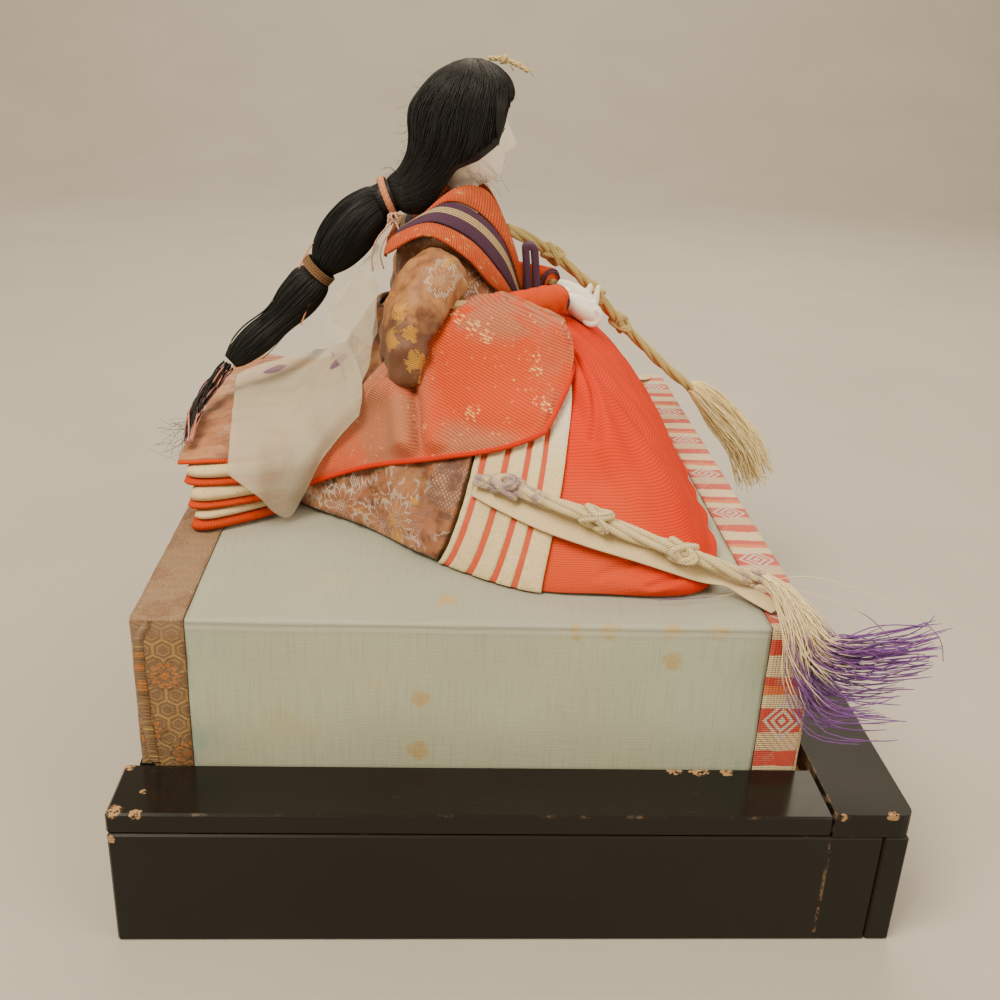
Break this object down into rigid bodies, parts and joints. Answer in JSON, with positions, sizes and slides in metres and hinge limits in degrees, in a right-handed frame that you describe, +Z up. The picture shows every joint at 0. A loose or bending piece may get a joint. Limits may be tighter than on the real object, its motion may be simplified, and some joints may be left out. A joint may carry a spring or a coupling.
{
  "type": "hina doll",
  "caption": "Seated court-lady hina doll in layered brocade and red silk on a cloth-edged block, set in a black lacquered stand, with long tied hair, gauze train, cords and tassels.",
  "frame": {"origin": "centre of the stand's underside", "axes": "+X towards the doll's front, +Y towards the doll's left, +Z up"},
  "size_m": [0.2398, 0.2952, 0.233],
  "materials": {
    "lacquer": "black-brown lacquer, worn gloss",
    "bare_wood": "plain sawn wood",
    "block": "pressed straw and softwood, hidden under cloth",
    "straw": "tied rice straw and paper stuffing",
    "silk": "faded plain silk, dull sheen",
    "stripe_cloth": "striped cotton edging, matte",
    "gold_brocade": "gold-brown figured brocade",
    "gofun": "white ground-shell coating, polished",
    "hair": "glossy black silk hair",
    "paper_tie": "folded paper and string",
    "red_silk": "ribbed orange-red silk",
    "rib_cloth": "ribbed silk with gold flecks",
    "rose_brocade": "rose-brown brocade with pale flowers",
    "cream_crepe": "cream crepe",
    "purple_cloth": "dark purple cloth",
    "gauze": "sheer stiff gauze",
    "cream_cord": "braided silk cord",
    "yellow_cord": "braided yellow silk cord"
  },
  "bodies": {
    "base": {"right_plank": "lacquer", "left_plank": "lacquer", "front_plank": "lacquer", "right_apron": "lacquer", "left_apron": "lacquer", "front_apron": "lacquer", "back_board": "lacquer", "base_deck": "bare_wood", "deck_batten_right": "bare_wood", "deck_batten_left": "bare_wood"},
    "platform": {"platform_core": "block", "silk_cover": "silk", "front_edging": "stripe_cloth", "back_edging": "gold_brocade"},
    "doll": {"body_core": "straw", "lap_stuffing": "straw", "arm_core_right": "straw", "arm_core_left": "straw", "hakama": "red_silk", "robe_skirt": "rose_brocade", "striped_hem_right": "cream_crepe", "striped_hem_left": "cream_crepe", "train_layer_1": "red_silk", "train_layer_2": "cream_crepe", "train_layer_3": "cream_crepe", "train_brocade": "rose_brocade", "jacket_body": "rose_brocade", "upper_sleeve_right": "rose_brocade", "upper_sleeve_left": "rose_brocade", "wide_sleeve_right": "rib_cloth", "wide_sleeve_left": "rib_cloth", "sleeve_lining_right": "red_silk", "sleeve_lining_left": "red_silk", "hand_right": "gofun", "hand_left": "gofun", "inner_collar": "red_silk", "purple_band": "purple_cloth", "collar_edging": "rib_cloth", "purple_loop": "purple_cloth", "mo_panel": "gauze", "mo_waist": "gauze", "ribbon_near": "cream_crepe", "ribbon_far": "cream_crepe", "cord_near": "cream_cord", "cord_far": "yellow_cord", "tassel_near": "cream_cord", "tassel_far": "yellow_cord"},
    "neck": {"neck_peg": "bare_wood"},
    "head": {"head": "gofun", "hair": "hair", "hair_ornament": "yellow_cord", "tie_1": "paper_tie"},
    "tail": {"tail_upper": "hair", "tie_2": "gold_brocade", "tail_lower": "hair", "tail_end": "hair"}
  },
  "joints": [
    {"name": "platform_lift", "type": "slide", "parent": "base", "child": "platform", "axis": [0, 0, 1], "range_m": [0, 0.03]},
    {"name": "doll_lift", "type": "slide", "parent": "platform", "child": "doll", "axis": [0, 0, 1], "range_m": [0, 0.05]},
    {"name": "neck_lift", "type": "slide", "parent": "doll", "child": "neck", "axis": [0, 0, 1], "range_m": [0, 0.022]},
    {"name": "head_turn", "type": "hinge", "parent": "neck", "child": "head", "pos_m": [-0.0165, 0, 0.19], "axis": [0, 0, 1], "range_deg": [-8, 8]},
    {"name": "tail_swing", "type": "hinge", "parent": "head", "child": "tail", "pos_m": [-0.0424, 0, 0.185], "axis": [0, 0, 1], "range_deg": [-8, 8]}
  ],
  "couplings": [
    {"joint": "tail_swing", "follows": "head_turn", "ratio": -1}
  ]
}
